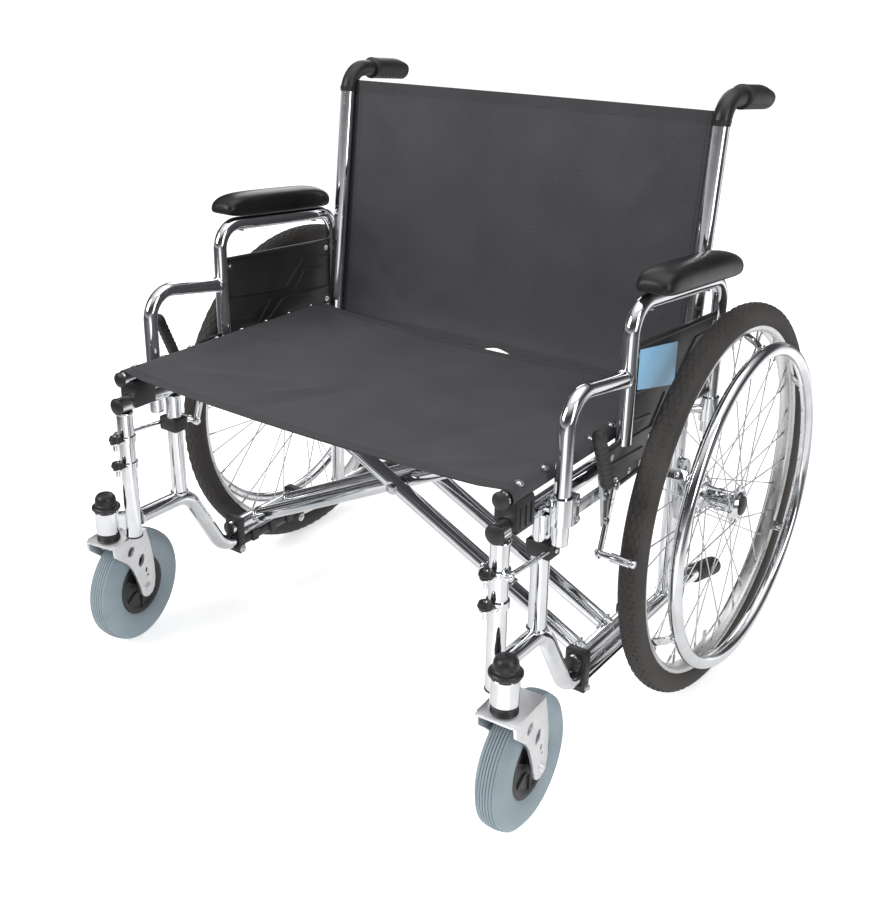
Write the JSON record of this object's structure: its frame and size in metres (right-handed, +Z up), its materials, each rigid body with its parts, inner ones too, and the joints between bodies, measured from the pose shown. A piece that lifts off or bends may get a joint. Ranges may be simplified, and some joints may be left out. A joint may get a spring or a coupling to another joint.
{
  "type": "manual wheelchair",
  "caption": "Wide heavy-duty folding manual wheelchair with a sling seat and back, desk-length lift-off arms, spoked rear wheels with hand rims, and grey casters.",
  "frame": {"origin": "on the floor under the middle of the chair's bounding box, in its plane of symmetry", "axes": "+Z up; the user faces -Y; +X is the user's left"},
  "size_m": [0.9526, 0.88, 0.9061],
  "materials": {
    "chrome": "bright plated tube",
    "steel": "zinc plated",
    "alloy": "satin",
    "black_plastic": "moulded, lightly textured",
    "black_vinyl": "smooth padded vinyl",
    "grip_rubber": "ribbed",
    "nylon": "woven nylon, matt",
    "tyre": "fine tread",
    "grey_tyre": "ribbed grey rubber"
  },
  "bodies": {
    "left_frame": {"back_cane_left": "chrome", "hand_grip_left": "grip_rubber", "upper_rail_left": "chrome", "front_post_left": "chrome", "mid_post_left": "chrome", "lower_rail_left": "chrome", "seat_saddle_front_left": "black_plastic", "seat_saddle_rear_left": "black_plastic", "axle_plate_left": "steel", "brace_saddle_left": "black_plastic", "brake_clamp_left": "steel", "caster_housing_left": "chrome", "caster_cap_left": "black_plastic", "back_sling": "nylon"},
    "brace_a": {"brace_a": "chrome", "seat_rail_right": "chrome", "cross_bolt_front": "steel", "cross_bolt_rear": "steel", "seat_sling": "nylon"},
    "brace_b": {"brace_b": "chrome", "seat_rail_left": "chrome"},
    "right_frame": {"back_cane_right": "chrome", "hand_grip_right": "grip_rubber", "upper_rail_right": "chrome", "front_post_right": "chrome", "mid_post_right": "chrome", "lower_rail_right": "chrome", "seat_saddle_front_right": "black_plastic", "seat_saddle_rear_right": "black_plastic", "axle_plate_right": "steel", "brace_saddle_right": "black_plastic", "brake_clamp_right": "steel", "caster_housing_right": "chrome", "caster_cap_right": "black_plastic"},
    "arm_left": {"arm_frame_left": "chrome", "arm_pad_left": "black_vinyl", "skirt_guard_left": "black_plastic"},
    "wheel_left": {"wheel_tyre_left": "tyre", "wheel_rim_left": "alloy", "wheel_hub_left": "alloy", "hand_rim_left": "chrome"},
    "caster_swivel_left": {"caster_fork_left": "chrome"},
    "caster_wheel_left": {"caster_tyre_left": "grey_tyre", "caster_core_left": "black_plastic"},
    "brake_lever_left": {"brake_lever_left": "black_plastic"},
    "brake_shoe_left": {"brake_shoe_left": "steel"},
    "arm_right": {"arm_frame_right": "chrome", "arm_pad_right": "black_vinyl", "skirt_guard_right": "black_plastic"},
    "wheel_right": {"wheel_tyre_right": "tyre", "wheel_rim_right": "alloy", "wheel_hub_right": "alloy", "hand_rim_right": "chrome"},
    "caster_swivel_right": {"caster_fork_right": "chrome"},
    "caster_wheel_right": {"caster_tyre_right": "grey_tyre", "caster_core_right": "black_plastic"},
    "brake_lever_right": {"brake_lever_right": "black_plastic"},
    "brake_shoe_right": {"brake_shoe_right": "steel"}
  },
  "joints": [
    {"name": "fold", "type": "hinge", "parent": "left_frame", "child": "brace_a", "pos_m": [0.344, 0, 0.133], "axis": [0, 1, 0], "range_deg": [0, 50], "deforming": ["seat_sling", "back_sling"]},
    {"name": "brace_cross", "type": "hinge", "parent": "brace_a", "child": "brace_b", "pos_m": [0, 0, 0.30275], "axis": [0, 1, 0], "range_deg": [-100, 0]},
    {"name": "right_foot", "type": "hinge", "parent": "brace_b", "child": "right_frame", "pos_m": [-0.344, 0, 0.133], "axis": [0, 1, 0], "range_deg": [0, 50]},
    {"name": "wheel_spin_left", "type": "hinge", "parent": "left_frame", "child": "wheel_left", "pos_m": [0.423, 0.135, 0.305], "axis": [1, 0, 0], "continuous": true},
    {"name": "caster_turn_left", "type": "hinge", "parent": "left_frame", "child": "caster_swivel_left", "pos_m": [0.377, -0.3945, 0.2], "axis": [0, 0, 1], "continuous": true},
    {"name": "caster_roll_left", "type": "hinge", "parent": "caster_swivel_left", "child": "caster_wheel_left", "pos_m": [0.37456, -0.34456, 0.095], "axis": [0.9988, 0.0489, 0], "continuous": true},
    {"name": "arm_lift_left", "type": "slide", "parent": "left_frame", "child": "arm_left", "axis": [0, 0, 1], "range_m": [0, 0.14]},
    {"name": "brake_lever_turn_left", "type": "hinge", "parent": "left_frame", "child": "brake_lever_left", "pos_m": [0.391, -0.19, 0.425], "axis": [1, 0, 0], "range_deg": [0, 48]},
    {"name": "brake_shoe_turn_left", "type": "hinge", "parent": "left_frame", "child": "brake_shoe_left", "pos_m": [0.3865, -0.152, 0.425], "axis": [1, 0, 0], "range_deg": [0, 4.8]},
    {"name": "wheel_spin_right", "type": "hinge", "parent": "right_frame", "child": "wheel_right", "pos_m": [-0.423, 0.135, 0.305], "axis": [1, 0, 0], "continuous": true},
    {"name": "caster_turn_right", "type": "hinge", "parent": "right_frame", "child": "caster_swivel_right", "pos_m": [-0.377, -0.3945, 0.2], "axis": [0, 0, 1], "continuous": true},
    {"name": "caster_roll_right", "type": "hinge", "parent": "caster_swivel_right", "child": "caster_wheel_right", "pos_m": [-0.38465, -0.34509, 0.095], "axis": [0.9882, 0.153, 0], "continuous": true},
    {"name": "arm_lift_right", "type": "slide", "parent": "right_frame", "child": "arm_right", "axis": [0, 0, 1], "range_m": [0, 0.14]},
    {"name": "brake_lever_turn_right", "type": "hinge", "parent": "right_frame", "child": "brake_lever_right", "pos_m": [-0.391, -0.19, 0.425], "axis": [1, 0, 0], "range_deg": [0, 48]},
    {"name": "brake_shoe_turn_right", "type": "hinge", "parent": "right_frame", "child": "brake_shoe_right", "pos_m": [-0.3865, -0.152, 0.425], "axis": [1, 0, 0], "range_deg": [0, 4.8]}
  ],
  "couplings": [
    {"joint": "brace_cross", "follows": "fold", "ratio": -2},
    {"joint": "right_foot", "follows": "fold", "ratio": 1},
    {"joint": "brake_shoe_turn_left", "follows": "brake_lever_turn_left", "ratio": 0.1},
    {"joint": "brake_shoe_turn_right", "follows": "brake_lever_turn_right", "ratio": 0.1}
  ]
}
